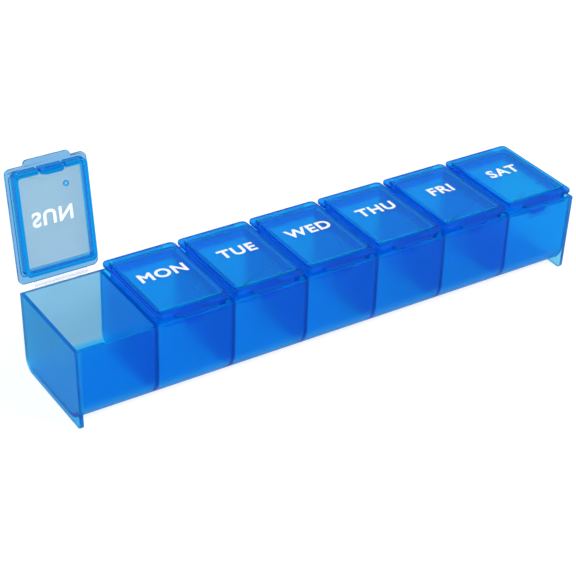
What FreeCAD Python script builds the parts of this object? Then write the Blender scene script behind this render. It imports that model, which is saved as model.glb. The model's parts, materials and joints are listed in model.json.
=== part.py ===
# Weekly pill box: a seven-compartment trough with seven flip lids on living hinges.
# Millimetres. X runs from the Sunday end to the Saturday end, Y from front to back,
# Z up from the table. The origin is the centre of the foot of the whole assembly.

import math
import os

import FreeCAD
import Part

V = FreeCAD.Vector

# ---- the days, from the left end to the right end ----
DAYS = ("sun", "mon", "tue", "wed", "thu", "fri", "sat")
OPEN_DAY = "sun"           # the lid that stands open
STANDING_ANGLE = 99.5      # how far that lid leans open, degrees from closed

# ---- tray ----
PITCH = 31.5               # from one compartment to the next
TRAY_DEPTH = 44.0          # outside, front to back
TRAY_HEIGHT = 33.1         # rim above the table
FRONT_WALL = 1.6
BACK_WALL = 1.4
FLOOR_WALL = 1.5
DIVIDER_WALL = 1.5
PLATE_WALL = 1.6           # end plates
END_LEAN = 0.8             # how far an end plate leans out from the table up to the rim
FOOT_RISE = 1.2            # trough clear of the table, between the end plates
FRONT_ROLL_R = 9.5         # outside radius of the rolled front bottom edge
BACK_ROLL_R = 5.0          # outside radius of the back bottom edge
PLATE_TOE_R = 1.5          # front bottom corner of an end plate
PLATE_HEEL_R = 5.0         # back bottom corner of an end plate

# ---- lid ----
LID_GAP = 1.2              # between neighbouring lids
LID_SETBACK = 0.9          # lid's front edge behind the tray's front face
LID_OVERHANG = 0.8         # lid's rear edge behind the tray's back face
END_LID_INSET = 0.15       # end lid's outer side in from the end plate's outer face
LID_LIFT = 1.4             # underside of the lid above the rim
FLANGE_THICKNESS = 1.3
FLANGE_CORNER_R = 2.2
TAB_WIDTH = 18.0
TAB_REACH = 1.9            # thumb tab beyond the flange
TAB_CORNER_R = 1.5
PANEL_RISE = 1.1           # raised panel above the flange
PANEL_THICKNESS = 1.2
PANEL_SIDE_INSET = 1.6     # panel's edge in from the flange's edge
PANEL_FRONT_INSET = 2.7
PANEL_REAR_INSET = 2.4
PANEL_CORNER_R = 1.8
PANEL_EDGE_R = 0.5

# ---- plug rim under the lid ----
PLUG_WALL = 1.9            # front wall and latch block
PLUG_SIDE_WALL = 1.5       # side and rear walls
PLUG_DROP = 3.6            # below the lid's underside
PLUG_DIVIDER_GAP = 1.3     # clearance to a divider
PLUG_PLATE_GAP = 0.35      # clearance to an end plate
PLUG_FRONT_GAP = 0.4       # clearance to the front wall
PLUG_BACK_GAP = 1.2        # clearance to the back wall
PLUG_CORNER_R = 2.0

# ---- latch block and its recess ----
LATCH_WIDTH = 9.0
LATCH_DROP = 5.6           # below the lid's underside
LATCH_CHAMFER = 1.6
LATCH_SLOT = 0.8           # slit between the latch block and the plug rim
NOSE_REACH = 0.7           # bead on the latch block's front face
NOSE_HEIGHT = 1.6
NOSE_TIP_MARGIN = 0.5      # bead's lower edge above the latch block's tip
RECESS_DEPTH = 0.9
RECESS_SIDE_GAP = 0.6
RECESS_FLOOR_GAP = 0.3     # under the latch block's tip

# ---- moulding mark on the underside of the panel ----
MARK_R = 1.15
MARK_HOLE_R = 0.6
MARK_HEIGHT = 0.3
MARK_FROM_RIGHT = 8.6
MARK_FROM_FRONT = 10.5

# ---- living hinge ----
AXIS_BEHIND = 0.9          # hinge axis behind the tray's back face
AXIS_ABOVE = 2.5           # hinge axis above the rim
WEB_WIDTH = 21.0
WEB_THICKNESS = 0.3
WEB_BULGE = 0.6            # how far a folded web bows out behind the tray
WEB_END_GAP = 0.05         # from the web's upper end to the lid's rear face
WEB_STEPS = 12

# ---- derived ----
COUNT = len(DAYS)
TRAY_LENGTH = COUNT * PITCH
RIM = TRAY_HEIGHT
LID_WIDTH = PITCH - LID_GAP
LID_FRONT = LID_SETBACK
LID_REAR = TRAY_DEPTH + LID_OVERHANG
LID_UNDER = RIM + LID_LIFT
FLANGE_TOP = LID_UNDER + FLANGE_THICKNESS
PANEL_TOP = FLANGE_TOP + PANEL_RISE
PANEL_UNDER = PANEL_TOP - PANEL_THICKNESS
PLUG_TIP = LID_UNDER - PLUG_DROP
PLUG_SIDE = DIVIDER_WALL / 2 + PLUG_DIVIDER_GAP
END_LID_SIDE = END_LID_INSET - END_LEAN
END_PLUG_SIDE = PLATE_WALL + PLUG_PLATE_GAP - END_LEAN
PLUG_FRONT = FRONT_WALL + PLUG_FRONT_GAP
PLUG_REAR = TRAY_DEPTH - BACK_WALL - PLUG_BACK_GAP
LATCH_TIP = LID_UNDER - LATCH_DROP
AXIS_Y = TRAY_DEPTH + AXIS_BEHIND
AXIS_Z = RIM + AXIS_ABOVE


def round_corner(points, corner, before, after, radius):
    """Adds an arc at a square corner; before and after are unit directions away from it."""
    start = corner + before * radius
    end = corner + after * radius
    centre = corner + (before + after) * radius
    middle = centre - (before + after).normalize() * radius
    points.append((start, middle, end))


def face_from(corners, radii):
    """A flat face with the given corners, each rounded by its own radius."""
    arcs = []
    count = len(corners)
    for i in range(count):
        corner = corners[i]
        before = (corners[i - 1] - corner).normalize()
        after = (corners[(i + 1) % count] - corner).normalize()
        if radii[i] > 0:
            round_corner(arcs, corner, before, after, radii[i])
        else:
            arcs.append((corner, None, corner))
    edges = []
    for i in range(count):
        start, middle, end = arcs[i]
        if middle is not None:
            edges.append(Part.Arc(start, middle, end).toShape())
        next_start = arcs[(i + 1) % count][0]
        edges.append(Part.LineSegment(end, next_start).toShape())
    return Part.Face(Part.Wire(edges))


def side_section(x, front, back, low, high, front_r, back_r, lean=0):
    """A section across the tray, rounded at its two bottom corners; lean shifts its top along X."""
    top = x + lean
    corners = [V(top, front, high), V(x, front, low), V(x, back, low), V(top, back, high)]
    return face_from(corners, [0, front_r, back_r, 0])


def plan_block(left, right, front, back, low, high, radius):
    """An upright block with rounded corners."""
    corners = [V(left, front, low), V(right, front, low), V(right, back, low), V(left, back, low)]
    return face_from(corners, [radius] * 4).extrude(V(0, 0, high - low))


def box(left, right, front, back, low, high):
    return Part.makeBox(right - left, back - front, high - low, V(left, front, low))


def inner_section(x, high):
    """The clear section of a compartment."""
    return side_section(
        x,
        FRONT_WALL,
        TRAY_DEPTH - BACK_WALL,
        FOOT_RISE + FLOOR_WALL,
        high,
        FRONT_ROLL_R - FRONT_WALL,
        BACK_ROLL_R - BACK_WALL,
    )


def day_centre(index):
    return (index + 0.5) * PITCH


def between_plates():
    """The room between the two leaning end plates."""
    right = TRAY_LENGTH - PLATE_WALL
    outline = [
        V(PLATE_WALL, 0, 0),
        V(right, 0, 0),
        V(right + END_LEAN, 0, RIM),
        V(PLATE_WALL - END_LEAN, 0, RIM),
    ]
    return Part.Face(Part.makePolygon(outline + outline[:1])).extrude(V(0, TRAY_DEPTH, 0))


def make_trough():
    start = -END_LEAN
    run = TRAY_LENGTH + 2 * END_LEAN
    outer = side_section(start, 0, TRAY_DEPTH, FOOT_RISE, RIM, FRONT_ROLL_R, BACK_ROLL_R)
    trough = outer.extrude(V(run, 0, 0))
    trough = trough.cut(inner_section(start, RIM + FLOOR_WALL).extrude(V(run, 0, 0)))
    half = LATCH_WIDTH / 2 + RECESS_SIDE_GAP
    for index in range(COUNT):
        centre = day_centre(index)
        recess = box(
            centre - half,
            centre + half,
            FRONT_WALL - RECESS_DEPTH,
            FRONT_WALL + RECESS_DEPTH,
            LATCH_TIP - RECESS_FLOOR_GAP,
            RIM + RECESS_DEPTH,
        )
        trough = trough.cut(recess)
    return trough.common(between_plates())


def make_plate(left, lean):
    section = side_section(left, 0, TRAY_DEPTH, 0, RIM, PLATE_TOE_R, PLATE_HEEL_R, lean)
    return section.extrude(V(PLATE_WALL, 0, 0))


def make_divider(index):
    left = index * PITCH - DIVIDER_WALL / 2
    return inner_section(left, RIM).extrude(V(DIVIDER_WALL, 0, 0))


def make_latch(centre):
    """The block that hangs in the middle of the plug's front wall, with its bead."""
    half = LATCH_WIDTH / 2
    outline = [
        V(centre - half, PLUG_FRONT, LID_UNDER),
        V(centre - half, PLUG_FRONT, LATCH_TIP + LATCH_CHAMFER),
        V(centre - half + LATCH_CHAMFER, PLUG_FRONT, LATCH_TIP),
        V(centre + half - LATCH_CHAMFER, PLUG_FRONT, LATCH_TIP),
        V(centre + half, PLUG_FRONT, LATCH_TIP + LATCH_CHAMFER),
        V(centre + half, PLUG_FRONT, LID_UNDER),
    ]
    block = Part.Face(Part.makePolygon(outline + outline[:1])).extrude(V(0, PLUG_WALL, 0))
    left = centre - half + LATCH_CHAMFER
    low = LATCH_TIP + NOSE_TIP_MARGIN
    bead = [
        V(left, PLUG_FRONT, low),
        V(left, PLUG_FRONT - NOSE_REACH, low + NOSE_REACH / 2),
        V(left, PLUG_FRONT - NOSE_REACH, low + NOSE_HEIGHT - NOSE_REACH),
        V(left, PLUG_FRONT, low + NOSE_HEIGHT),
    ]
    bead_run = LATCH_WIDTH - 2 * LATCH_CHAMFER
    nose = Part.Face(Part.makePolygon(bead + bead[:1])).extrude(V(bead_run, 0, 0))
    return block.fuse(nose)


def make_lid(index):
    """A lid, closed."""
    centre = day_centre(index)
    left = centre - LID_WIDTH / 2
    right = centre + LID_WIDTH / 2
    plug_left = centre - PITCH / 2 + PLUG_SIDE
    plug_right = centre + PITCH / 2 - PLUG_SIDE
    if index == 0:
        left = END_LID_SIDE
        plug_left = END_PLUG_SIDE
    if index == COUNT - 1:
        right = TRAY_LENGTH - END_LID_SIDE
        plug_right = TRAY_LENGTH - END_PLUG_SIDE
    flange = plan_block(left, right, LID_FRONT, LID_REAR, LID_UNDER, FLANGE_TOP, FLANGE_CORNER_R)
    tab = plan_block(
        centre - TAB_WIDTH / 2,
        centre + TAB_WIDTH / 2,
        LID_FRONT - TAB_REACH,
        LID_FRONT + TAB_REACH,
        LID_UNDER,
        FLANGE_TOP,
        TAB_CORNER_R,
    )
    panel = plan_block(
        left + PANEL_SIDE_INSET,
        right - PANEL_SIDE_INSET,
        LID_FRONT + PANEL_FRONT_INSET,
        LID_REAR - PANEL_REAR_INSET,
        LID_UNDER,
        PANEL_TOP,
        PANEL_CORNER_R,
    )
    rim_edges = [edge for edge in panel.Edges if edge.BoundBox.ZMin > FLANGE_TOP]
    panel = panel.makeFillet(PANEL_EDGE_R, rim_edges)
    plug = plan_block(
        plug_left, plug_right, PLUG_FRONT, PLUG_REAR, PLUG_TIP, LID_UNDER, PLUG_CORNER_R
    )
    hollow = plan_block(
        plug_left + PLUG_SIDE_WALL,
        plug_right - PLUG_SIDE_WALL,
        PLUG_FRONT + PLUG_WALL,
        PLUG_REAR - PLUG_SIDE_WALL,
        PLUG_TIP - PLUG_WALL,
        PANEL_UNDER,
        PLUG_CORNER_R / 2,
    )
    slit = LATCH_WIDTH / 2 + LATCH_SLOT
    gap = box(
        centre - slit,
        centre + slit,
        PLUG_FRONT - PLUG_WALL,
        PLUG_FRONT + PLUG_WALL,
        PLUG_TIP - PLUG_WALL,
        LID_UNDER,
    )
    mark_at = V(right - MARK_FROM_RIGHT, LID_FRONT + MARK_FROM_FRONT, PANEL_UNDER - MARK_HEIGHT)
    mark = Part.makeCylinder(MARK_R, MARK_HEIGHT + PANEL_RISE / 2, mark_at)
    mark = mark.cut(Part.makeCylinder(MARK_HOLE_R, MARK_HEIGHT, mark_at))
    lid = flange.multiFuse([tab, panel, plug.cut(gap)]).cut(hollow)
    return lid.multiFuse([make_latch(centre), mark]).removeSplitter()


def opened(shape, angle):
    """The shape turned about the hinge axis as its lid opens by that angle."""
    turned = shape.copy()
    turned.rotate(V(0, AXIS_Y, AXIS_Z), V(-1, 0, 0), angle)
    return turned


def web_spine(angle):
    """Points from the rim to the lid's rear edge along the web, for a lid opened by that angle."""
    foot_y = TRAY_DEPTH - WEB_THICKNESS / 2
    head_y = LID_REAR + WEB_END_GAP + WEB_THICKNESS / 2
    head_z = LID_UNDER + FLANGE_THICKNESS / 2
    points = []
    for step in range(WEB_STEPS + 1):
        share = step / WEB_STEPS
        bow = WEB_BULGE * math.sin(math.pi * share)
        y = foot_y + (head_y - foot_y) * share + bow - AXIS_Y
        z = RIM + (head_z - RIM) * share - AXIS_Z
        turn = math.radians(angle) * share * share * (3 - 2 * share)
        turned_y = y * math.cos(turn) + z * math.sin(turn)
        turned_z = z * math.cos(turn) - y * math.sin(turn)
        points.append((AXIS_Y + turned_y, AXIS_Z + turned_z))
    return points


def make_web(index, angle):
    """The living hinge: a thin strip that follows the spine."""
    spine = web_spine(angle)
    left = day_centre(index) - WEB_WIDTH / 2
    near = []
    far = []
    for step, (y, z) in enumerate(spine):
        y0, z0 = spine[max(step - 1, 0)]
        y1, z1 = spine[min(step + 1, WEB_STEPS)]
        length = math.hypot(y1 - y0, z1 - z0)
        across_y = (z1 - z0) / length * WEB_THICKNESS / 2
        across_z = -(y1 - y0) / length * WEB_THICKNESS / 2
        if step == 0:
            across_y = WEB_THICKNESS / 2
            across_z = 0
        if step == WEB_STEPS:
            across_y = math.cos(math.radians(angle)) * WEB_THICKNESS / 2
            across_z = -math.sin(math.radians(angle)) * WEB_THICKNESS / 2
        near.append(V(left, y - across_y, z - across_z))
        far.append(V(left, y + across_y, z + across_z))
    outline = near + far[::-1]
    return Part.Face(Part.makePolygon(outline + outline[:1])).extrude(V(WEB_WIDTH, 0, 0))


def make_all():
    shapes = {"trough": make_trough()}
    shapes["end_plate_left"] = make_plate(0, -END_LEAN)
    shapes["end_plate_right"] = make_plate(TRAY_LENGTH - PLATE_WALL, END_LEAN)
    for index in range(1, COUNT):
        shapes["divider_%d" % index] = make_divider(index)
    for index, day in enumerate(DAYS):
        angle = STANDING_ANGLE if day == OPEN_DAY else 0
        shapes["lid_" + day] = opened(make_lid(index), angle)
        shapes["hinge_" + day] = make_web(index, angle)
    return shapes


def place(shapes):
    """Moves everything so that the origin is the middle of the assembly's foot."""
    whole = Part.makeCompound(list(shapes.values())).optimalBoundingBox(False)
    shift = V(-TRAY_LENGTH / 2, -(whole.YMin + whole.YMax) / 2, 0)
    for shape in shapes.values():
        shape.translate(shift)


os.makedirs("parts", exist_ok=True)
parts = make_all()
place(parts)
for name, shape in parts.items():
    shape.exportStep("parts/" + name + ".step")
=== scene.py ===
import json
import math

import bmesh
import bpy
from bpy.props import FloatProperty, FloatVectorProperty
from mathutils import Euler, Matrix, Vector


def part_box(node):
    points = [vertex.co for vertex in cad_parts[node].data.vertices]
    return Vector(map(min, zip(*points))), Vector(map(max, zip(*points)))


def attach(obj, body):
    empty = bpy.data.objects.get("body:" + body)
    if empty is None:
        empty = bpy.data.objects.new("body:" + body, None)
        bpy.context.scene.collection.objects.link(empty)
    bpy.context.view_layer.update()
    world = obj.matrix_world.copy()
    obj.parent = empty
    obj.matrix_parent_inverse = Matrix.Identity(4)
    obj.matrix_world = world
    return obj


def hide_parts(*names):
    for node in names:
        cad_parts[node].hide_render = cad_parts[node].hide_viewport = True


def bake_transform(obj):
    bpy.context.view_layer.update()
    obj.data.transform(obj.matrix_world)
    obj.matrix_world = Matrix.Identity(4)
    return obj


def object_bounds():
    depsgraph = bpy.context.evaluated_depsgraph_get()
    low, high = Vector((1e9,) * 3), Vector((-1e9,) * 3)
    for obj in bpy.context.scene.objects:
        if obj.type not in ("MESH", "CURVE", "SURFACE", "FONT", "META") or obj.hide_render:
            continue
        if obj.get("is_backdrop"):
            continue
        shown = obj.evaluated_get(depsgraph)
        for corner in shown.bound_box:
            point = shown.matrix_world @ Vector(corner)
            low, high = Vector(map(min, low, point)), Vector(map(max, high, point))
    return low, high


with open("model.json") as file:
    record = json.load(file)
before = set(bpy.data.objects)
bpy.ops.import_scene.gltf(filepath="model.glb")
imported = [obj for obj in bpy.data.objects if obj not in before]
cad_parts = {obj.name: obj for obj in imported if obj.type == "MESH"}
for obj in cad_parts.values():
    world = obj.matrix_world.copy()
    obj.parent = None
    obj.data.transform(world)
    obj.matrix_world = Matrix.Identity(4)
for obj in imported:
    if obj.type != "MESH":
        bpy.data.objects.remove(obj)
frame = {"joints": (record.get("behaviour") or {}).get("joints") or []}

bl_info = {
    "name": "Weekly Pill Box",
    "version": (1, 0, 0),
    "blender": (4, 5, 0),
    "location": "3D View > Sidebar > Pill Box",
    "description": "Dresses a seven-day pill box: tray, flip lids, living hinges and day lettering",
    "category": "Object",
}

# Metres. X runs from the Sunday end to the Saturday end, Y from front to back, Z up.
DAYS = ("sun", "mon", "tue", "wed", "thu", "fri", "sat")
OPEN_DAY = "sun"
CAD_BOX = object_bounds()
LEFT_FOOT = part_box("end_plate_left")
PINS = {j["name"].split("_")[1]: j for j in frame["joints"]}
FIRST, LAST = (PINS[day]["pos_m"][0] for day in (DAYS[0], DAYS[-1]))
PITCH = (LAST - FIRST) / (len(DAYS) - 1)
LEFT = FIRST - PITCH / 2
LENGTH = PITCH * len(DAYS)
LEAN = LEFT - LEFT_FOOT[0].x
FRONT = LEFT_FOOT[0].y
BACK = LEFT_FOOT[1].y
RIM = LEFT_FOOT[1].z
MM = 0.001
SAME = 0.01 * MM  # places nearer than this count as the same
SEAM = 0.002 * MM  # an extrusion's own doubles are nearer than this
EDGE = 0.4 * MM  # half the width in which a region's tint fades in
WELD = 0.003 * MM  # vertices nearer than this are made one before the rounding
FLAT = math.radians(0.2)  # faces that turn less than this are made one before the rounding
SHARP = math.radians(32)  # edges that turn more than this are rounded off
SMOOTH = math.radians(35)  # edges that turn less than this are shaded smooth
CAPITAL = 0.729  # height of a capital as a share of the font's size
FROST = 0.13  # roughness that a frosted part of the plastic has on top
BOUNCES = 24  # light goes through many walls of clear plastic


def length(name, about, value):
    """A length that a user may set, shown in scene units."""
    return FloatProperty(
        name=name, description=about, default=value, min=0.0, unit="LENGTH", subtype="DISTANCE", precision=5
    )


def number(name, about, value, low=0.0, high=1000.0, unit="NONE"):
    return FloatProperty(name=name, description=about, default=value, min=low, max=high, unit=unit)


def colour(name, about, value):
    return FloatVectorProperty(
        name=name, description=about, default=value, min=0.0, max=1.0, size=3, subtype="COLOR"
    )


class TraySizes(bpy.types.PropertyGroup):
    """Sizes of the seven-compartment trough."""

    front_wall: length("Front wall", "Thickness of the front wall", 1.6 * MM)
    back_wall: length("Back wall", "Thickness of the back wall", 1.4 * MM)
    floor_wall: length("Floor", "Thickness of the floor", 1.5 * MM)
    divider_wall: length("Dividers", "Thickness of the walls between the days", 1.5 * MM)
    plate_wall: length("End plates", "Thickness of the two end plates", 1.6 * MM)
    foot_rise: length("Foot rise", "How far the trough is clear of the table", 1.2 * MM)
    front_roll: length("Front roll", "Radius of the rolled front bottom edge", 9.5 * MM)
    back_roll: length("Back roll", "Radius of the back bottom edge", 5.0 * MM)
    plate_toe: length("Plate toe", "Radius of an end plate's front bottom corner", 1.5 * MM)
    plate_heel: length("Plate heel", "Radius of an end plate's back bottom corner", 5.0 * MM)
    recess_width: length("Recess width", "Width of the latch recess in the front wall", 10.2 * MM)
    recess_depth: length("Recess depth", "How deep the latch recess goes into the front wall", 0.9 * MM)
    recess_drop: length("Recess drop", "How far the latch recess reaches below the rim", 4.5 * MM)
    edge_round: length("Edge rounding", "Radius on the moulded edges", 0.3 * MM)


class LidSizes(bpy.types.PropertyGroup):
    """Sizes of one flip lid, closed."""

    gap: length("Gap", "Between neighbouring lids", 1.2 * MM)
    setback: length("Setback", "Front edge of the lid behind the tray's front face", 0.9 * MM)
    overhang: length("Overhang", "Rear edge of the lid behind the tray's back face", 0.8 * MM)
    end_extra: length("End extra", "How much an end lid is wider over its end plate", 1.25 * MM)
    end_plug: length("End plug extra", "How much an end lid's plug rim is wider over its end plate", 0.9 * MM)
    lift: length("Lift", "Underside of the lid above the rim", 1.4 * MM)
    flange: length("Flange", "Thickness of the flange", 1.3 * MM)
    flange_corner: length("Flange corner", "Corner radius of the flange", 2.2 * MM)
    tab_width: length("Tab width", "Width of the thumb tab", 18.0 * MM)
    tab_reach: length("Tab reach", "How far the thumb tab stands out in front", 1.9 * MM)
    tab_corner: length("Tab corner", "Corner radius of the thumb tab", 1.5 * MM)
    panel_rise: length("Panel rise", "Raised panel above the flange", 1.1 * MM)
    panel_wall: length("Panel wall", "Thickness of the raised panel", 1.2 * MM)
    panel_side: length("Panel side inset", "Panel in from the sides", 1.6 * MM)
    panel_front: length("Panel front inset", "Panel in from the front", 2.7 * MM)
    panel_rear: length("Panel rear inset", "Panel in from the rear", 2.4 * MM)
    panel_corner: length("Panel corner", "Corner radius of the panel", 1.8 * MM)
    plug_wall: length("Plug wall", "Thickness of the plug rim's front wall and the latch block", 1.9 * MM)
    plug_side_wall: length("Plug side wall", "Thickness of the plug rim's side and rear walls", 1.5 * MM)
    plug_drop: length("Plug drop", "Depth of the plug rim", 3.6 * MM)
    plug_side: length("Plug side inset", "Plug rim in from the lid's sides", 1.45 * MM)
    plug_front: length("Plug front inset", "Plug rim behind the tray's front face", 2.0 * MM)
    plug_rear: length("Plug rear inset", "Plug rim ahead of the tray's back face", 2.6 * MM)
    plug_corner: length("Plug corner", "Corner radius of the plug rim", 2.0 * MM)
    latch_width: length("Latch width", "Width of the latch block", 9.0 * MM)
    latch_drop: length("Latch drop", "How far the latch block hangs down", 5.6 * MM)
    latch_chamfer: length("Latch chamfer", "Chamfer on the latch block's tip", 1.6 * MM)
    latch_slot: length("Latch slot", "Slit beside the latch block", 0.8 * MM)
    nose_reach: length("Bead reach", "How far the latch bead stands out", 0.7 * MM)
    nose_height: length("Bead height", "Height of the latch bead", 1.6 * MM)
    nose_margin: length("Bead margin", "Bead above the latch block's tip", 0.5 * MM)
    mark_radius: length("Mark radius", "Radius of the moulding mark", 1.15 * MM)
    mark_hole: length("Mark hole", "Radius of the hole in the moulding mark", 0.6 * MM)
    mark_height: length("Mark height", "How far the moulding mark stands out", 0.3 * MM)
    mark_right: length("Mark from the right", "Moulding mark in from the right side", 8.6 * MM)
    mark_front: length("Mark from the front", "Moulding mark in from the front", 10.5 * MM)
    edge_round: length("Edge rounding", "Radius on the moulded edges", 0.28 * MM)
    panel_round: length("Panel rounding", "Radius on the raised panel's top edge", 0.5 * MM)


class HingeSizes(bpy.types.PropertyGroup):
    """Sizes of the living hinges."""

    width: length("Width", "Width of the thin web", 21.0 * MM)
    thickness: length("Thickness", "Thickness of the thin web", 0.3 * MM)
    bulge: length("Bulge", "How far a folded web bows out", 0.6 * MM)
    end_gap: length("End gap", "From the web to the lid's rear face", 0.05 * MM)


class LetteringSizes(bpy.types.PropertyGroup):
    """Sizes of the day lettering."""

    cap_height: length("Cap height", "Height of the capitals", 5.6 * MM)
    stretch: number("Stretch", "Width of the letters as a share of the font's own", 1.03, 0.5, 2.0)
    spacing: number("Spacing", "From one letter to the next, as a share of the font's own", 1.13, 0.8, 1.5)
    weight: number("Weight", "Share of the size that the strokes gain", 0.03, 0.0, 0.05)
    film: length("Ink film", "Thickness of the ink", 0.02 * MM)
    behind_middle: length("Behind the middle", "Lettering behind the lid's middle", 2.4 * MM)
    open_forward: length("Open day forward", "The open day's lettering nearer the front", 3.0 * MM)
    slip_x: length("Slip across", "The open day's top print beside the print under its panel", 0.34 * MM)
    slip_y: length("Slip back", "The open day's top print behind the print under its panel", 0.356 * MM)


class Finish(bpy.types.PropertyGroup):
    """Colours and gloss of the plastic and the ink, and paler tints that paint light and reflection on some
    parts of the plastic.
    """

    tray_tint: colour("Tray tint", "Colour of the tray's plastic", (0.06, 0.55, 1.0))
    # Painted light: the open day's back wall is tinted paler, as a single wall with the bright room behind it
    # looks.
    tray_pale: colour("Pale tray tint", "Colour of the tray's back wall at the open day", (0.83, 0.59, 0.765))
    # The end plates' plastic with a painted reflection: tinted paler than the tray for the room's light that
    # the end walls reflect.
    plate_tint: colour("End plate tint", "Colour of the two end plates", (0.42, 0.73, 1.0))
    # Painted light: the last plate's toe in front of the roll is tinted nearly clear, to look as bright as
    # the light through it.
    toe_tint: colour("Toe tint", "Colour of the last day's end plate in front of the roll", (1.0, 0.68, 0.84))
    lid_tint: colour("Lid tint", "Colour of the closed lids' plastic", (0.012, 0.35, 0.98))
    panel_tint: colour("Panel tint", "Colour of the closed lids' raised panels", (0.05, 0.86, 1.0))
    # Painted light: the open lid above its rim is tinted paler, as one wall lit from the front with the
    # bright room behind it looks.
    lid_pale: colour("Pale lid tint", "Colour of the open lid's plastic", (0.83, 0.57, 0.70))
    rim_tint: colour("Plug rim tint", "Colour of the open lid's plug rim", (0.04, 0.36, 0.94))
    depth_tint: colour("Depth tint", "What thick plastic turns to", (0.0, 0.93, 0.995))
    ink: colour("Ink", "Colour of the lettering", (0.93, 0.95, 0.96))


class StageSetting(bpy.types.PropertyGroup):
    """Lamps and floor."""

    key_power: number("Key lamp", "Power of the key lamp", 11.0, unit="POWER")
    fill_power: number("Fill lamp", "Power of the fill lamp", 6.0, unit="POWER")
    sky: number("Room light", "Strength of the even light of the room", 0.42)
    paper: colour("Paper", "Colour of the floor and the backdrop", (0.4, 0.46, 0.52))


SETTINGS = {
    "pill_tray": TraySizes,
    "pill_lid": LidSizes,
    "pill_hinge": HingeSizes,
    "pill_lettering": LetteringSizes,
    "pill_finish": Finish,
    "pill_stage": StageSetting,
}


def inputs(group, *left_out):
    """A settings group's values, by the names that a geometry tree gives its inputs."""
    keys = [key for key in type(group).__annotations__ if key not in left_out]
    return {key.replace("_", " ").title(): getattr(group, key) for key in keys}


class Bench:
    """Lays nodes in a tree and wires them."""

    per_row, wide, tall = 14, 190, 220

    def __init__(self, tree):
        self.tree = tree
        self.laid = 0

    def lay(self, kind, wires=None, out=0, **settings):
        node = self.tree.nodes.new(kind)
        column, row = self.laid % self.per_row, self.laid // self.per_row
        node.location = (column * self.wide, -row * self.tall)
        self.laid += 1
        for name, value in settings.items():
            setattr(node, name, value)
        for socket, value in (wires or {}).items():
            self.wire(node.inputs[socket], value)
        return node.outputs[out]

    def wire(self, socket, value):
        if isinstance(value, bpy.types.NodeSocket):
            self.tree.links.new(value, socket)
        elif isinstance(value, list):
            for one in value:
                self.tree.links.new(one, socket)
        else:
            socket.default_value = value

    def maths(self, operation, a, b=0.0):
        return self.lay("ShaderNodeMath", {0: a, 1: b}, operation=operation)

    def plus(self, a, b):
        return self.maths("ADD", a, b)

    def less(self, a, b):
        return self.maths("SUBTRACT", a, b)

    def times(self, a, b):
        return self.maths("MULTIPLY", a, b)

    def point(self, x, y, z):
        return self.lay("ShaderNodeCombineXYZ", {"X": x, "Y": y, "Z": z})


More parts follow.
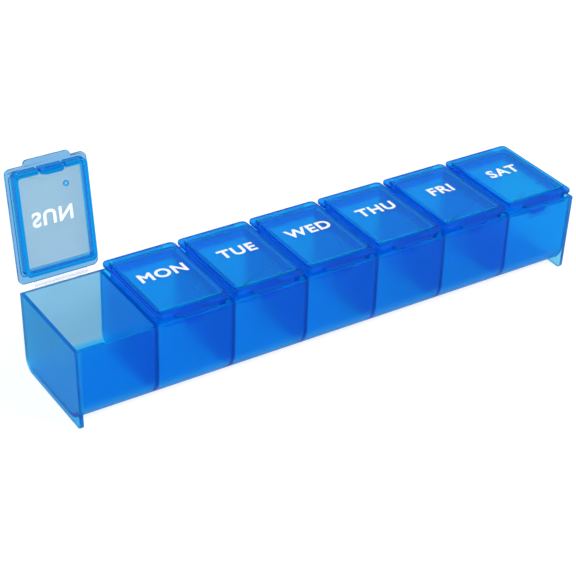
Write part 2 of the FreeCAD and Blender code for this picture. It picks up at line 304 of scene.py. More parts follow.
class Builder(Bench):
    """A geometry tree with named inputs for its sizes."""

    def __init__(self, name, sizes):
        tree = bpy.data.node_groups.new(name, "GeometryNodeTree")
        super().__init__(tree)
        tree.interface.new_socket("Geometry", in_out="INPUT", socket_type="NodeSocketGeometry")
        tree.interface.new_socket("Geometry", in_out="OUTPUT", socket_type="NodeSocketGeometry")
        for label, value in sizes.items():
            kind = "NodeSocketInt" if isinstance(value, int) else "NodeSocketFloat"
            tree.interface.new_socket(label, in_out="INPUT", socket_type=kind).default_value = value
        tree.interface.new_socket("Material", in_out="INPUT", socket_type="NodeSocketMaterial")
        self.entry = tree.nodes.new("NodeGroupInput")
        self.exit = tree.nodes.new("NodeGroupOutput")

    def size(self, label):
        return self.entry.outputs[label]

    def outline(self, corners, radii, steps):
        """A closed outline through four corners, each rounded by its own radius."""
        curve = self.lay(
            "GeometryNodeCurvePrimitiveQuadrilateral",
            {"Point %d" % (i + 1): corner for i, corner in enumerate(corners)},
            mode="POINTS",
        )
        switch = self.tree.nodes.new("GeometryNodeIndexSwitch")
        switch.data_type = "FLOAT"
        while len(switch.index_switch_items) < len(radii):
            switch.index_switch_items.new()
        self.wire(switch.inputs["Index"], self.lay("GeometryNodeInputIndex"))
        for i, radius in enumerate(radii):
            self.wire(switch.inputs[i + 1], radius)
        return self.lay(
            "GeometryNodeFilletCurve",
            {"Curve": curve, "Count": steps, "Radius": switch.outputs[0]},
            mode="POLY",
        )

    def thicken(self, outline, height):
        """A closed solid of that height on an outline that lies in the XY plane."""
        face = self.lay("GeometryNodeFillCurve", {"Curve": outline}, mode="NGONS")
        skin = self.lay(
            "GeometryNodeExtrudeMesh",
            {"Mesh": face, "Offset": (0, 0, 1), "Offset Scale": height, "Individual": False},
        )
        under = self.lay("GeometryNodeFlipFaces", {"Mesh": face})
        whole = self.lay("GeometryNodeJoinGeometry", {"Geometry": [skin, under]})
        return self.lay("GeometryNodeMergeByDistance", {"Geometry": whole, "Distance": SEAM})

    def move(self, shape, x=0.0, y=0.0, z=0.0, turn=(0, 0, 0)):
        wires = {"Geometry": shape, "Translation": self.point(x, y, z)}
        if any(turn):
            wires["Rotation"] = tuple(math.radians(a) for a in turn)
        return self.lay("GeometryNodeTransform", wires)

    def block(self, x0, x1, y0, y1, z0, z1, radius, steps=6):
        """An upright block between those planes with rounded corners."""
        corners = [self.point(x, y, 0.0) for x, y in ((x0, y0), (x1, y0), (x1, y1), (x0, y1))]
        solid = self.thicken(self.outline(corners, [radius] * 4, steps), self.less(z1, z0))
        return self.move(solid, z=z0)

    def bar(self, x, run, corners, radii, steps):
        """A bar along X; corners are (y, z) pairs of its section."""
        places = [self.point(y, z, 0.0) for y, z in corners]
        solid = self.thicken(self.outline(places, radii, steps), run)
        return self.move(solid, x=x, turn=(90, 0, 90))

    def repeat(self, shape, count, first, step):
        """Copies of a shape in a row along X."""
        start, stride = self.point(first, 0.0, 0.0), self.point(step, 0.0, 0.0)
        row = self.lay("GeometryNodeMeshLine", {"Count": count, "Start Location": start, "Offset": stride})
        copies = self.lay("GeometryNodeInstanceOnPoints", {"Points": row, "Instance": shape})
        return self.lay("GeometryNodeRealizeInstances", {"Geometry": copies})

    def join(self, shapes):
        return self.lay("GeometryNodeMeshBoolean", {"Mesh 2": shapes}, operation="UNION", solver="EXACT")

    def cut(self, shape, tools):
        wires = {"Mesh 1": shape, "Mesh 2": tools}
        return self.lay("GeometryNodeMeshBoolean", wires, operation="DIFFERENCE", solver="EXACT")

    def close(self, shape):
        real = self.lay("GeometryNodeRealizeInstances", {"Geometry": shape})
        dressed = self.lay("GeometryNodeSetMaterial", {"Geometry": real, "Material": self.size("Material")})
        self.tree.links.new(dressed, self.exit.inputs["Geometry"])


def baked(name, modifiers, mesh=None):
    """A mesh object whose listed modifiers have been applied."""
    host = bpy.data.objects.new(name + "_blank", mesh or bpy.data.meshes.new(name + "_blank"))
    bpy.context.scene.collection.objects.link(host)
    for kind, settings in modifiers:
        modifier = host.modifiers.new(kind.title(), kind)
        for key, value in settings.items():
            if key.startswith("="):
                modifier[key[1:]] = value
            else:
                setattr(modifier, key, value)
    graph = bpy.context.evaluated_depsgraph_get()
    graph.update()
    result = bpy.data.meshes.new_from_object(host.evaluated_get(graph), depsgraph=graph)
    bpy.data.objects.remove(host)
    return result


def grown(builder, name, values, material):
    """The mesh that a geometry tree gives with these values for its named inputs."""
    tree = builder.tree
    socket = {item.name: item.identifier for item in tree.interface.items_tree if item.in_out == "INPUT"}
    settings = {"node_group": tree, "=" + socket["Material"]: material}
    settings.update({"=" + socket[label]: value for label, value in values.items()})
    return baked(name, [("NODES", settings)])


def piece(name, mesh):
    """A finished piece: one object at the origin with its place in its mesh."""
    mesh.shade_smooth()
    mesh.set_sharp_from_angle(angle=SMOOTH)
    mesh = baked(name, [("WEIGHTED_NORMAL", {"keep_sharp": True})], mesh)
    mesh.name = name
    thing = bpy.data.objects.new(name, mesh)
    bpy.context.scene.collection.objects.link(thing)
    return thing


def softened(name, mesh, radius, share):
    """The mesh with its sharp edges rounded off; share gives an edge's part of the radius."""
    work = bmesh.new()
    work.from_mesh(mesh)
    bmesh.ops.remove_doubles(work, verts=work.verts, dist=WELD)
    bmesh.ops.dissolve_degenerate(work, dist=WELD, edges=work.edges)
    bmesh.ops.dissolve_limit(work, angle_limit=FLAT, verts=work.verts, edges=work.edges)
    weight = work.edges.layers.float.new("bevel_weight_edge")
    for edge in work.edges:
        turned = len(edge.link_faces) == 2 and edge.calc_face_angle(0.0) > SHARP
        edge[weight] = share(edge) if turned else 0.0
    work.to_mesh(mesh)
    work.free()
    bevel = {
        "width": radius,
        "segments": 3,
        "limit_method": "WEIGHT",
        "use_clamp_overlap": False,
        "miter_outer": "MITER_SHARP",
    }
    return baked(name, [("BEVEL", bevel)], mesh)


def tray_tree(sizes):
    """The trough, its end plates, the dividers and the latch recesses as one moulding."""
    b = Builder("Pill Tray", sizes)
    front, back, rim = b.size("Front"), b.size("Back"), b.size("Rim")
    left, run, plate = b.size("Left"), b.size("Length"), b.size("Plate Wall")
    right = b.plus(left, run)
    under = b.size("Foot Rise")
    lap = b.times(plate, 0.5)
    square = 0.0

    def section(low, y0, y1, high):
        return [(y0, low), (y1, low), (y1, high), (y0, high)]

    trough = b.bar(
        b.plus(left, lap),
        b.less(run, plate),
        section(under, front, back, rim),
        [b.size("Front Roll"), b.size("Back Roll"), square, square],
        steps=14,
    )
    plate_section = section(0.0, front, back, rim)
    plate_radii = [b.size("Plate Toe"), b.size("Plate Heel"), square, square]
    plate_places = (left, b.less(right, plate))
    plates = [b.bar(x, plate, plate_section, plate_radii, steps=8) for x in plate_places]
    shell = b.join([trough] + plates)

    inner_front = b.plus(front, b.size("Front Wall"))
    inner_back = b.less(back, b.size("Back Wall"))
    inner_floor = b.plus(under, b.size("Floor Wall"))
    over = b.plus(rim, plate)
    inner_front_roll = b.less(b.size("Front Roll"), b.size("Front Wall"))
    inner_back_roll = b.less(b.size("Back Roll"), b.size("Back Wall"))
    cavity = b.bar(
        b.plus(left, plate),
        b.less(run, b.times(plate, 2.0)),
        section(inner_floor, inner_front, inner_back, over),
        [inner_front_roll, inner_back_roll, square, square],
        steps=12,
    )
    slab = b.bar(
        b.times(b.size("Divider Wall"), -0.5),
        b.size("Divider Wall"),
        section(0.0, b.less(front, plate), b.plus(back, plate), b.times(over, 2.0)),
        [square] * 4,
        steps=1,
    )
    count, pitch = b.size("Compartments"), b.size("Pitch")
    dividers = b.repeat(slab, b.less(count, 1), b.plus(left, pitch), pitch)
    pockets = b.cut(cavity, [dividers])
    recess_low = b.less(rim, b.size("Recess Drop"))
    recess = b.bar(
        b.times(b.size("Recess Width"), -0.5),
        b.size("Recess Width"),
        section(recess_low, b.less(inner_front, b.size("Recess Depth")), b.plus(inner_front, plate), over),
        [square] * 4,
        steps=1,
    )
    recesses = b.repeat(recess, count, b.plus(left, b.times(pitch, 0.5)), pitch)
    moulding = b.cut(shell, [pockets, recesses])

    # The end plates lean outward, by the whole lean at the rim.
    split = b.tree.nodes.new("ShaderNodeSeparateXYZ")
    b.wire(split.inputs[0], b.lay("GeometryNodeInputPosition"))
    half = b.times(run, 0.5)
    along = b.less(split.outputs["X"], b.plus(left, half))
    between_plates = b.less(half, b.times(plate, 1.5))
    at_end = b.maths("GREATER_THAN", b.maths("ABSOLUTE", along), between_plates)
    rise = b.maths("DIVIDE", b.times(split.outputs["Z"], b.size("Lean")), rim)
    outward = b.times(b.times(b.maths("SIGN", along), at_end), rise)
    b.close(b.lay("GeometryNodeSetPosition", {"Geometry": moulding, "Offset": b.point(outward, 0.0, 0.0)}))
    return b


def lid_tree(sizes):
    """One closed flip lid over its compartment."""
    b = Builder("Pill Lid", sizes)
    middle, half = b.size("Middle"), b.times(b.size("Width"), 0.5)
    even_left, even_right = b.less(middle, half), b.plus(middle, half)
    left, right = b.less(even_left, b.size("Left Extra")), b.plus(even_right, b.size("Right Extra"))
    front = b.plus(b.size("Front"), b.size("Setback"))
    rear = b.plus(b.size("Back"), b.size("Overhang"))
    under = b.plus(b.size("Rim"), b.size("Lift"))
    flange_top = b.plus(under, b.size("Flange"))
    panel_top = b.plus(flange_top, b.size("Panel Rise"))
    panel_under = b.less(panel_top, b.size("Panel Wall"))
    bite = b.plus(under, b.times(b.size("Flange"), 0.5))

    flange = b.block(left, right, front, rear, under, flange_top, b.size("Flange Corner"))
    tab_half = b.times(b.size("Tab Width"), 0.5)
    reach = b.size("Tab Reach")
    tab = b.block(
        b.less(middle, tab_half),
        b.plus(middle, tab_half),
        b.less(front, reach),
        b.plus(front, reach),
        under,
        flange_top,
        b.size("Tab Corner"),
    )
    side = b.size("Panel Side")
    panel = b.block(
        b.plus(left, side),
        b.less(right, side),
        b.plus(front, b.size("Panel Front")),
        b.less(rear, b.size("Panel Rear")),
        bite,
        panel_top,
        b.size("Panel Corner"),
    )
    wall, side_wall, corner = b.size("Plug Wall"), b.size("Plug Side Wall"), b.size("Plug Corner")
    plug_left = b.less(b.plus(even_left, b.size("Plug Side")), b.size("Left Plug Extra"))
    plug_right = b.plus(b.less(even_right, b.size("Plug Side")), b.size("Right Plug Extra"))
    plug_front = b.plus(b.size("Front"), b.size("Plug Front"))
    plug_rear = b.less(b.size("Back"), b.size("Plug Rear"))
    tip = b.less(under, b.size("Plug Drop"))
    below = b.less(tip, wall)
    plug = b.block(plug_left, plug_right, plug_front, plug_rear, tip, bite, corner)
    latch_half = b.times(b.size("Latch Width"), 0.5)
    slit = b.plus(latch_half, b.size("Latch Slot"))
    sharp = 0.0
    gap = b.block(
        b.less(middle, slit),
        b.plus(middle, slit),
        b.less(plug_front, wall),
        b.plus(plug_front, wall),
        below,
        under,
        sharp,
        steps=1,
    )
    hollow = b.block(
        b.plus(plug_left, side_wall),
        b.less(plug_right, side_wall),
        b.plus(plug_front, wall),
        b.less(plug_rear, side_wall),
        below,
        panel_under,
        b.times(corner, 0.5),
    )
    latch_tip = b.less(under, b.size("Latch Drop"))
    chamfer = b.size("Latch Chamfer")
    latch_left, latch_right = b.less(middle, latch_half), b.plus(middle, latch_half)
    tips = [(latch_left, latch_tip), (latch_right, latch_tip)]
    roots = [(latch_right, bite), (latch_left, bite)]
    latch_places = [b.point(x, z, 0.0) for x, z in tips + roots]
    latch_outline = b.outline(latch_places, [chamfer, chamfer, sharp, sharp], steps=1)
    latch = b.move(b.thicken(latch_outline, wall), y=b.plus(plug_front, wall), turn=(90, 0, 0))
    nose_low = b.plus(latch_tip, b.size("Nose Margin"))
    nose_reach = b.size("Nose Reach")
    bead_front = b.less(plug_front, nose_reach)
    sunk = b.plus(plug_front, nose_reach)
    nose_high = b.plus(nose_low, b.size("Nose Height"))
    ledge_slope = 0.1  # the bead's underside is nearly level and its top slopes at 45 degrees
    bead_low, bead_high = b.plus(nose_low, b.times(nose_reach, ledge_slope)), b.less(nose_high, nose_reach)
    nose = b.bar(
        b.plus(latch_left, chamfer),
        b.less(b.size("Latch Width"), b.times(chamfer, 2.0)),
        [(bead_front, bead_low), (sunk, nose_low), (sunk, nose_high), (bead_front, bead_high)],
        [sharp] * 4,
        steps=1,
    )
    mark_x = b.less(right, b.size("Mark Right"))
    mark_y = b.plus(front, b.size("Mark Front"))
    mark_height = b.size("Mark Height")
    mark_low = b.less(panel_under, mark_height)

    def disc(points, radius, heights, middle_z):
        """An upright cylinder at the mark, so many mark heights tall."""
        wires = {"Vertices": points, "Radius": radius, "Depth": b.times(mark_height, heights)}
        return b.move(b.lay("GeometryNodeMeshCylinder", wires), mark_x, mark_y, middle_z)

    ring_middle = b.plus(mark_low, b.times(mark_height, 1.5))
    ring = disc(points=28, radius=b.size("Mark Radius"), heights=3.0, middle_z=ring_middle)
    hole = disc(points=20, radius=b.size("Mark Hole"), heights=2.0, middle_z=mark_low)
    body = b.cut(b.join([flange, tab, panel, b.cut(plug, [gap])]), [hollow])
    b.close(b.cut(b.join([body, latch, nose, ring]), [hole]))
    return b


def hinge_pin(day):
    """The point on a lid's hinge axis and the axis itself."""
    return Vector(PINS[day]["pos_m"]), Vector(PINS[day]["axis"])


def rest_angle(day):
    """How far a lid stands open at rest: a joint's range starts at the closed lid."""
    return -math.radians(PINS[day]["range_deg"][0])


def swing(day):
    """The turn that takes a closed lid to where it rests."""
    pin, axis = hinge_pin(day)
    turn = Matrix.Rotation(rest_angle(day), 4, axis)
    return Matrix.Translation(pin) @ turn @ Matrix.Translation(-pin)


class Shader(Bench):
    """A material's nodes, with patterns in the object's own place."""

    def __init__(self, name):
        self.material = bpy.data.materials.new(name)
        self.material.use_nodes = True
        super().__init__(self.material.node_tree)
        self.tree.nodes.clear()
        self.place = self.lay("ShaderNodeTexCoord", out=3)

    def cloud(self, scale, detail=2.0, distortion=0.0):
        return self.lay(
            "ShaderNodeTexNoise",
            {"Vector": self.place, "Scale": scale, "Detail": detail, "Distortion": distortion},
        )

    def between(self, factor, low, high):
        """A cloud's values, which lie about a half, spread from low to high."""
        wires = {"Value": factor, "From Min": 0.3, "From Max": 0.7, "To Min": low, "To Max": high}
        return self.lay("ShaderNodeMapRange", wires)

    def within(self, bounds):
        """How far a place is inside all the bounds, from 0 to 1."""
        held = 1.0
        for measure, vector, absent, full in bounds:
            far = self.lay("ShaderNodeVectorMath", {0: self.place, 1: vector}, out=1, operation=measure)
            part = self.lay("ShaderNodeMapRange", {"Value": far, "From Min": absent, "From Max": full})
            held = self.times(held, part)
        return held

    def tints(self, factor, first, second):
        ramp = self.tree.nodes.new("ShaderNodeValToRGB")
        ramp.color_ramp.elements[0].position = 0.35
        ramp.color_ramp.elements[0].color = (*first, 1.0)
        ramp.color_ramp.elements[1].position = 0.65
        ramp.color_ramp.elements[1].color = (*second, 1.0)
        self.wire(ramp.inputs["Fac"], factor)
        return ramp.outputs["Color"]

    def bump(self, height, strength, distance):
        return self.lay("ShaderNodeBump", {"Height": height, "Strength": strength, "Distance": distance})

    def finish(self, surface, volume=None):
        out = self.tree.nodes.new("ShaderNodeOutputMaterial")
        self.tree.links.new(surface, out.inputs["Surface"])
        if volume is not None:
            self.tree.links.new(volume, out.inputs["Volume"])
        return self.material


def beyond(way, start):
    """A region's bound: everything past a distance along a direction."""
    return "DOT_PRODUCT", way, start - EDGE, start + EDGE


def clear_plastic(name, tint, rough, clear, regions=(), frosted=None):
    """Translucent moulded plastic: flow marks in the tint, a faint moulded grain and depth colour.

    Each region is a tint and its bounds: a direction to measure along or a point to measure from,
    where the tint is still absent and where it is full. Some regions' tints are painted light, paler
    than the plastic's own colour. Inside the frosted bounds it is rougher.
    """
    s = Shader(name)
    depth = bpy.context.scene.pill_finish.depth_tint
    flow = s.cloud(45.0, detail=3.0, distortion=1.2)

    def flowing(shade):
        return s.tints(flow, shade, [c * 0.96 for c in shade])

    body_tint = flowing(tint)
    for other, bounds in regions:
        mixed = {0: s.within(bounds), 6: body_tint, 7: flowing(other)}
        body_tint = s.lay("ShaderNodeMix", mixed, out=2, data_type="RGBA")
    roughness = s.between(s.cloud(260.0, detail=3.0), *rough)
    if frosted:
        roughness = s.plus(roughness, s.times(s.within(frosted), FROST))
    grain = s.cloud(1400.0, detail=2.0)
    ripple = s.cloud(120.0, detail=1.0)
    body = s.lay(
        "ShaderNodeBsdfPrincipled",
        {
            "Base Color": body_tint,
            "Roughness": roughness,
            "IOR": 1.36,
            "Transmission Weight": clear,
            "Specular Tint": (0.0, 0.62, 1.0, 1.0),
            "Normal": s.bump(s.plus(s.times(grain, 0.35), ripple), strength=0.05, distance=0.08 * MM),
        },
    )
    depths = s.lay("ShaderNodeVolumeAbsorption", {"Color": (*depth, 1.0), "Density": 800.0})
    return s.finish(body, depths)


def hinge_film(name):
    """Thin plastic, whitened where it folds."""
    s = Shader(name)
    streak = s.lay(
        "ShaderNodeTexNoise",
        {
            "Vector": s.lay("ShaderNodeMapping", {"Vector": s.place, "Scale": (900.0, 120.0, 120.0)}),
            "Scale": 1.0,
            "Detail": 2.0,
        },
    )
    body = s.lay(
        "ShaderNodeBsdfPrincipled",
        {
            "Base Color": s.tints(streak, (0.93, 0.97, 1.0), (0.98, 0.99, 1.0)),
            "Roughness": s.between(s.cloud(500.0), 0.18, 0.26),
            "IOR": 1.46,
            "Transmission Weight": 0.75,
            "Normal": s.bump(streak, strength=0.1, distance=0.04 * MM),
        },
    )
    return s.finish(body)


def print_ink(name, ink):
    """Matt white ink with a faint uneven cover."""
    s = Shader(name)
    cover = s.cloud(2200.0, detail=3.0)
    shade = tuple(c * 0.93 for c in ink)
    body = s.lay(
        "ShaderNodeBsdfPrincipled",
        {
            "Base Color": s.tints(cover, shade, ink),
            "Roughness": s.between(s.cloud(900.0), 0.38, 0.52),
            "Normal": s.bump(cover, strength=0.15, distance=0.03 * MM),
        },
    )
    return s.finish(body)


def make_tray():
    sizes, look = bpy.context.scene.pill_tray, bpy.context.scene.pill_finish
    open_end = LEFT + PITCH - sizes.divider_wall / 2
    far_plate = LEFT + LENGTH - sizes.plate_wall
    on_far_plate = beyond((1, 0, 0), far_plate)
    radius = sizes.front_roll
    roll = Vector((far_plate + sizes.plate_wall / 2, FRONT + radius, sizes.foot_rise + radius))
    off_roll = ("DISTANCE", roll, radius, radius + EDGE)
    regions = (
        # Painted light: the open day's back wall is tinted paler, as a single wall with the bright room
        # behind it looks.
        (look.tray_pale, [beyond((-1, 0, 0), -open_end), beyond((0, 1, 0), BACK - sizes.back_wall - MM / 2)]),
        # Painted reflection: both end plates are tinted paler for the room's light that the end walls
        # reflect.
        (look.plate_tint, [beyond((-1, 0, 0), -LEFT - sizes.plate_wall)]),
        (look.plate_tint, [on_far_plate]),
        # Painted light: the last plate's toe in front of the roll is tinted nearly clear, to look as bright
        # as the light through it.
        (look.toe_tint, [on_far_plate, beyond((0, -1, 0), -roll.y), beyond((0, 0, -1), -roll.z), off_roll]),
    )
    plastic = clear_plastic("tray_plastic", look.tray_tint, rough=(0.3, 0.35), clear=0.985, regions=regions)
    values = {
        "Compartments": len(DAYS),
        "Pitch": PITCH,
        "Left": LEFT,
        "Length": LENGTH,
        "Lean": LEAN,
        "Front": FRONT,
        "Back": BACK,
        "Rim": RIM,
        **inputs(sizes, "edge_round"),
    }
    mesh = grown(tray_tree(values), "tray", values, plastic)

    def share(edge):
        """None of the radius where an end plate meets the outside of the trough."""
        near = [LENGTH / 2 - abs(v.co.x - LEFT - LENGTH / 2) + LEAN * v.co.z / RIM for v in edge.verts]
        on_plate = all(abs(x - sizes.plate_wall) < SAME for x in near)
        inside = all(
            FRONT + sizes.front_wall - SAME < v.co.y < BACK - sizes.back_wall + SAME
            and v.co.z > sizes.foot_rise + sizes.floor_wall - SAME
            for v in edge.verts
        )
        return 0.0 if on_plate and not inside else 1.0

    mesh = softened("tray", mesh, sizes.edge_round, share)
    tray = piece("tray_moulding", mesh)
    tray.data.materials.clear()
    tray.data.materials.append(plastic)
    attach(tray, "tray")
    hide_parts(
        "trough", "end_plate_left", "end_plate_right", *["divider_%d" % i for i in range(1, len(DAYS))]
    )


def mark_place(day):
    """The middle of a closed lid's moulding mark, on the underside of the panel."""
    sizes = bpy.context.scene.pill_lid
    side = hinge_pin(day)[0].x + (PITCH - sizes.gap) / 2 + (day == DAYS[-1]) * sizes.end_extra
    under = RIM + sizes.lift + sizes.flange + sizes.panel_rise - sizes.panel_wall
    return Vector((side - sizes.mark_right, FRONT + sizes.setback + sizes.mark_front, under))


def lid_finishes():
    """The plastic of the closed lids and that of the open one, which has painted light on its flange and
    panel.
    """
    sizes, look = bpy.context.scene.pill_lid, bpy.context.scene.pill_finish
    clear = 0.94
    above_flange = beyond((0, 0, 1), RIM + sizes.lift + sizes.flange + sizes.panel_rise / 2)
    before_panel = beyond((0, -1, 0), -(FRONT + sizes.setback + sizes.panel_front + EDGE))
    raised = ((look.panel_tint, [above_flange]),)
    closed = clear_plastic("lid_plastic", look.lid_tint, (0.18, 0.23), clear, raised, frosted=[before_panel])

    up = swing(OPEN_DAY).to_3x3() @ Vector((0, 0, 1))
    pin = hinge_pin(OPEN_DAY)[0]
    above_rim = beyond(up, up.dot(pin) + RIM + sizes.lift - pin.z)
    ring = swing(OPEN_DAY) @ (mark_place(OPEN_DAY) - Vector((0, 0, sizes.mark_height)))
    fade = 0.1 * MM
    in_ring = [
        ("DISTANCE", ring, sizes.mark_hole - fade, sizes.mark_hole),
        ("DISTANCE", ring, sizes.mark_radius + fade, sizes.mark_radius),
    ]
    # Painted light: the open lid above its rim is tinted paler, as one wall lit from the front with the
    # bright room behind it looks.
    regions = ((look.lid_pale, [above_rim]), (look.lid_tint, in_ring))
    return closed, clear_plastic("open_lid_plastic", look.rim_tint, (0.12, 0.17), clear, regions)


def lid_share(day):
    """A function that gives the part of the panel's radius that an edge of a closed lid gets."""
    sizes = bpy.context.scene.pill_lid
    middle, mark = hinge_pin(day)[0].x, mark_place(day)
    panel_top = RIM + sizes.lift + sizes.flange + sizes.panel_rise
    spare = 0.1 * MM
    latch_side = sizes.latch_width / 2 + sizes.latch_slot + spare
    latch_back = FRONT + sizes.plug_front + sizes.plug_wall + spare
    latch_top = RIM + sizes.lift + spare

    def share(edge):
        """All on the panel's top edge, less on the others, little on the latch and none on the mark."""
        places = [v.co for v in edge.verts]
        if all((p - mark).length < sizes.mark_radius + sizes.mark_hole for p in places):
            return 0.0
        if all(abs(p.x - middle) < latch_side and p.y < latch_back and p.z < latch_top for p in places):
            return 0.2
        if all(abs(p.z - panel_top) < SAME for p in places):
            return 1.0
        return sizes.edge_round / sizes.panel_round

    return share


def lid_values(day):
    """What the lid's tree takes for a day: the two end lids reach over their end plates."""
    sizes = bpy.context.scene.pill_lid
    first, last = float(day == DAYS[0]), float(day == DAYS[-1])
    return {
        "Middle": hinge_pin(day)[0].x,
        "Front": FRONT,
        "Back": BACK,
        "Rim": RIM,
        "Width": PITCH - sizes.gap,
        "Left Extra": first * sizes.end_extra,
        "Right Extra": last * sizes.end_extra,
        "Left Plug Extra": first * sizes.end_plug,
        "Right Plug Extra": last * sizes.end_plug,
        **inputs(sizes, "gap", "end_extra", "end_plug", "edge_round", "panel_round"),
    }


def make_lids():
    radius = bpy.context.scene.pill_lid.panel_round
    closed_look, open_look = lid_finishes()
    builder = lid_tree(lid_values(DAYS[0]))
    for day in DAYS:
        plastic = open_look if day == OPEN_DAY else closed_look
        mesh = grown(builder, "lid_" + day, lid_values(day), plastic)
        mesh = softened("lid_" + day, mesh, radius, lid_share(day))
        mesh.transform(swing(day))
        lid = piece("flip_lid_" + day, mesh)
        lid.data.materials.clear()
        lid.data.materials.append(plastic)
        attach(lid, "lid_" + day + "_body")
        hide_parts("lid_" + day)


def web_spine(day, foot, head, steps):
    """The middle of a web's section, from the tray's rim to the rear face of its lid at rest."""
    pin, axis = hinge_pin(day)
    bulge = bpy.context.scene.pill_hinge.bulge
    spine = []
    for i in range(steps + 1):
        share = i / steps
        spot = foot.lerp(head, share)
        spot.x = pin.x
        spot.y += bulge * math.sin(math.pi * share)
        turn = Matrix.Rotation(rest_angle(day) * share * share * (3 - 2 * share), 3, axis)
        spine.append(pin + turn @ (spot - pin))
    return spine


def web_mesh(day, spine, across):
    """A thin closed strip along a spine, thinnest in the middle, where it folds."""
    sizes = bpy.context.scene.pill_hinge
    thinned, fold = 0.45, 0.12  # shares of the thickness and of the length
    steps = len(spine) - 1
    asides = [Vector((sizes.width * (k / across - 0.5), 0, 0)) for k in range(across + 1)]
    rows = []
    for i, spot in enumerate(spine):
        ahead = spine[min(i + 1, steps)] - spine[max(i - 1, 0)]
        out = Vector((0, ahead.z, -ahead.y)).normalized()
        if i == 0:
            out = Vector((0, 1, 0))
        if i == steps:
            out = Matrix.Rotation(rest_angle(day), 3, hinge_pin(day)[1]) @ Vector((0, 1, 0))
        crease = 1.0 - thinned * math.exp(-(((i / steps) - 0.5) / fold) ** 2)
        for side in (-1, 1):
            half = out * sizes.thickness / 2 * crease * side
            rows.append([spot + half + aside for aside in asides])
    web = bmesh.new()
    grid = [[web.verts.new(p) for p in row] for row in rows]
    for i in range(steps):
        a, c, b, d = grid[2 * i : 2 * i + 4]
        for k in range(across):
            web.faces.new((a[k], b[k], b[k + 1], a[k + 1]))
            web.faces.new((c[k], c[k + 1], d[k + 1], d[k]))
        for k in (0, across):
            web.faces.new((a[k], c[k], d[k], b[k]))
    for a, c in (grid[:2], grid[-2:]):
        for k in range(across):
            web.faces.new((a[k], a[k + 1], c[k + 1], c[k]))
    bmesh.ops.recalc_face_normals(web, faces=web.faces)
    mesh = bpy.data.meshes.new("hinge_web_" + day)
    web.to_mesh(mesh)
    web.free()
    return mesh


def make_hinges():
    web, lid = bpy.context.scene.pill_hinge, bpy.context.scene.pill_lid
    film = hinge_film("hinge_web_film")
    foot = Vector((0, BACK - web.thickness / 2, RIM))
    head = Vector((0, BACK + lid.overhang + web.end_gap + web.thickness / 2, RIM + lid.lift + lid.flange / 2))
    for day in DAYS:
        spine = web_spine(day, foot, head, steps=16)
        strip = piece("hinge_web_" + day, web_mesh(day, spine, across=24))
        strip.data.materials.append(film)
        start, end = spine[0], spine[-1]
        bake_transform(strip)
        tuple(start)
        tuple(end)
        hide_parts("hinge_" + day)


def make_lettering():
    letters, lid = bpy.context.scene.pill_lettering, bpy.context.scene.pill_lid
    ink = print_ink("white_print", bpy.context.scene.pill_finish.ink)
    panel_top = RIM + lid.lift + lid.flange + lid.panel_rise
    above, under = panel_top + letters.film / 2, panel_top - lid.panel_wall - letters.film / 2
    middle_y = (FRONT + lid.setback + BACK + lid.overhang) / 2 + letters.behind_middle
    for day in DAYS:
        words = bpy.data.curves.new("word_" + day, "FONT")
        words.body = day.upper()
        words.align_x = "CENTER"
        words.align_y = "CENTER"
        words.size = 1.0
        words.space_character = letters.spacing
        words.bevel_depth = letters.weight
        words.bevel_resolution = 1
        words.resolution_u = 6
        words.extrude = 0.5 - letters.weight  # a whole unit thick with its bevel
        flat = baked("word_" + day, [], words)
        xs = [v.co.x for v in flat.vertices]
        ys = [v.co.y for v in flat.vertices]
        grow = letters.cap_height / CAPITAL
        flat.transform(Matrix.Translation((-(min(xs) + max(xs)) / 2, -(min(ys) + max(ys)) / 2, 0)))
        flat.transform(Matrix.Diagonal((grow * letters.stretch, grow, letters.film, 1)))
        if day == OPEN_DAY:
            both = bmesh.new()
            for x, y, z in ((letters.slip_x, letters.slip_y, above), (0, 0, under)):
                copy = flat.copy()
                copy.transform(Matrix.Translation((x, y - letters.open_forward, z)))
                both.from_mesh(copy)
            both.to_mesh(flat)
            both.free()
        else:
            flat.transform(Matrix.Translation((0, 0, above)))
        flat.transform(swing(day) @ Matrix.Translation((hinge_pin(day)[0].x, middle_y, 0)))
        label = piece("day_word_" + day, flat)
        label.data.materials.clear()
        label.data.materials.append(ink)
        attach(label, "lid_" + day + "_body")


def lamp(name, place, aim, size, power):
    """A white softbox that looks at a point."""
    data = bpy.data.lights.new(name, "AREA")
    data.shape = "RECTANGLE"
    data.size, data.size_y = size
    data.energy = power
    thing = bpy.data.objects.new(name, data)
    bpy.context.scene.collection.objects.link(thing)
    turn = (Vector(aim) - Vector(place)).to_track_quat("-Z", "Y")
    thing.matrix_world = Matrix.Translation(place) @ turn.to_matrix().to_4x4()


def seen(bench):
    """1 for rays that look from the camera or through clear plastic, less for gloss."""
    path = bench.tree.nodes.new("ShaderNodeLightPath")
    gloss = bench.times(path.outputs["Is Glossy Ray"], 0.1)
    looks = bench.maths("MAXIMUM", path.outputs["Is Camera Ray"], gloss)
    return bench.maths("MAXIMUM", looks, path.outputs["Is Transmission Ray"])


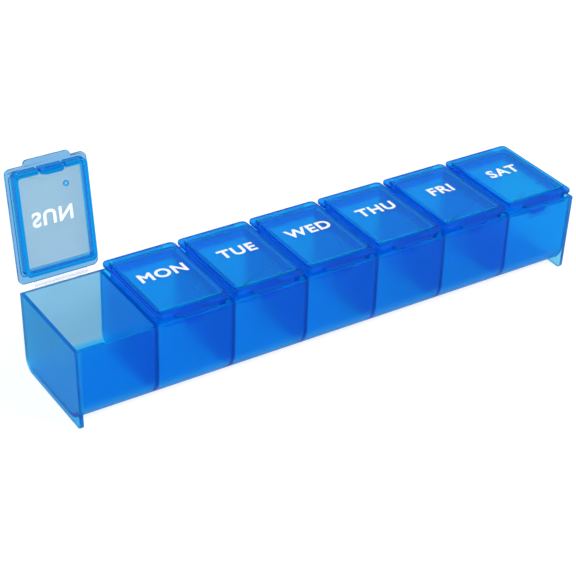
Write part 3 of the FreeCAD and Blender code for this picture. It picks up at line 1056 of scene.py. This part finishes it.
def make_floor(stage):
    """A sheet of paper that runs under the box and sweeps up behind it."""
    s = Shader("paper_floor")
    speck = s.cloud(300.0, detail=4.0)
    paper = s.tints(speck, tuple(c * 0.985 for c in stage.paper), stage.paper)
    plain = s.lay("ShaderNodeBsdfDiffuse", {"Color": paper})
    dim = s.lay("ShaderNodeBsdfDiffuse", {"Color": (0.3, 0.3, 0.3, 1.0)})
    white = s.lay("ShaderNodeEmission", {"Color": (1, 1, 1, 1), "Strength": 0.8})
    bright = s.lay("ShaderNodeAddShader", {0: dim, 1: white})
    floor_look = s.finish(s.lay("ShaderNodeMixShader", {"Fac": seen(s), 1: plain, 2: bright}))

    near, far, bend, top, half_width, steps = -3.0, 2.0, 0.6, 2.5, 4.0, 16
    angles = [i * math.pi / 2 / steps for i in range(steps + 1)]
    curve = [Vector((0, far + math.sin(a) * bend, bend - math.cos(a) * bend)) for a in angles]
    profile = [Vector((0, near, 0)), *curve, Vector((0, far + bend, top))]
    sheet = bmesh.new()
    rows = [[sheet.verts.new(p + Vector((x, 0, 0))) for x in (-half_width, half_width)] for p in profile]
    for a, b in zip(rows, rows[1:]):
        sheet.faces.new((a[0], a[1], b[1], b[0]))
    mesh = bpy.data.meshes.new("paper_sweep")
    sheet.to_mesh(mesh)
    sheet.free()
    floor = piece("paper_sweep", mesh)
    floor.data.materials.append(floor_look)
    floor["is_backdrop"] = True


def make_room(stage):
    """An even white room, bright to look at and dim as a light."""
    world = bpy.data.worlds.new("studio")
    world.use_nodes = True
    room = Bench(world.node_tree)
    room.tree.nodes.clear()
    strength = room.lay("ShaderNodeMapRange", {"Value": seen(room), "To Min": stage.sky, "To Max": 1.0})
    light = room.lay("ShaderNodeBackground", {"Color": (1, 1, 1, 1), "Strength": strength})
    out = room.tree.nodes.new("ShaderNodeOutputWorld")
    room.tree.links.new(light, out.inputs["Surface"])
    bpy.context.scene.world = world


def make_camera():
    """The camera that looks at the box from its Sunday end."""
    view = bpy.data.cameras.new("camera")
    view.sensor_width = 36.0
    view.lens = 105.33
    view.shift_x = -0.01042
    view.shift_y = -0.00351
    view.clip_start = 0.01
    camera = bpy.data.objects.new("camera", view)
    bpy.context.scene.collection.objects.link(camera)
    place = Matrix.Translation((-0.31189, -0.45704, 0.36248))
    turn = Euler([math.radians(a) for a in (57.5374, -1.9091, -32.6756)])
    camera.matrix_world = place @ turn.to_matrix().to_4x4()
    bpy.context.scene.camera = camera


def make_stage():
    scene = bpy.context.scene
    stage = scene.pill_stage
    make_floor(stage)
    make_room(stage)
    lamp("key_softbox", (0.59, -0.7, 0.95), aim=(0, 0, 0.03), size=(0.4, 0.3), power=stage.key_power)
    lamp("fill_softbox", (-0.6, -0.6, 0.5), aim=(0, 0, 0.02), size=(0.8, 0.8), power=stage.fill_power)
    make_camera()
    scene.view_settings.view_transform = "Standard"
    scene.cycles.max_bounces = BOUNCES
    scene.cycles.transmission_bounces = BOUNCES
    scene.cycles.glossy_bounces = BOUNCES


class PILLBOX_OT_tray(bpy.types.Operator):
    """Make the seven-compartment tray"""

    bl_idname = "pillbox.tray"
    bl_label = "Tray"

    def execute(self, context):
        make_tray()
        return {"FINISHED"}


class PILLBOX_OT_lids(bpy.types.Operator):
    """Make the seven flip lids"""

    bl_idname = "pillbox.lids"
    bl_label = "Lids"

    def execute(self, context):
        make_lids()
        return {"FINISHED"}


class PILLBOX_OT_hinges(bpy.types.Operator):
    """Make the thin webs between the tray and its lids"""

    bl_idname = "pillbox.hinges"
    bl_label = "Hinges"

    def execute(self, context):
        make_hinges()
        return {"FINISHED"}


class PILLBOX_OT_lettering(bpy.types.Operator):
    """Print the days on the lids"""

    bl_idname = "pillbox.lettering"
    bl_label = "Lettering"

    def execute(self, context):
        make_lettering()
        return {"FINISHED"}


class PILLBOX_OT_stage(bpy.types.Operator):
    """Make the floor, the lamps and the camera"""

    bl_idname = "pillbox.stage"
    bl_label = "Stage"

    def execute(self, context):
        make_stage()
        return {"FINISHED"}


class PILLBOX_PT_panel(bpy.types.Panel):
    """Lists the pieces and their settings"""

    bl_idname = "PILLBOX_PT_panel"
    bl_label = "Pill Box"
    bl_space_type = "VIEW_3D"
    bl_region_type = "UI"
    bl_category = "Pill Box"

    def draw(self, context):
        for one in OPERATORS:
            self.layout.operator(one.bl_idname)
        for name, group in SETTINGS.items():
            box = self.layout.box()
            box.label(text=name.replace("pill_", "").title())
            for key in group.__annotations__:
                box.prop(getattr(context.scene, name), key)


OPERATORS = (PILLBOX_OT_stage, PILLBOX_OT_tray, PILLBOX_OT_lids, PILLBOX_OT_hinges, PILLBOX_OT_lettering)
CLASSES = (*SETTINGS.values(), *OPERATORS, PILLBOX_PT_panel)


def register():
    for one in CLASSES:
        bpy.utils.register_class(one)
    for name, group in SETTINGS.items():
        setattr(bpy.types.Scene, name, bpy.props.PointerProperty(type=group))


def unregister():
    for name in SETTINGS:
        delattr(bpy.types.Scene, name)
    for one in reversed(CLASSES):
        bpy.utils.unregister_class(one)


def corners(box):
    return [[float(v) for v in corner] for corner in box]


def main():
    register()
    bpy.ops.pillbox.stage()
    bpy.ops.pillbox.tray()
    bpy.ops.pillbox.lids()
    bpy.ops.pillbox.hinges()
    bpy.ops.pillbox.lettering()
    {"cad": corners(CAD_BOX), "visual": corners(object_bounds())}


if __name__ == "__main__":
    main()
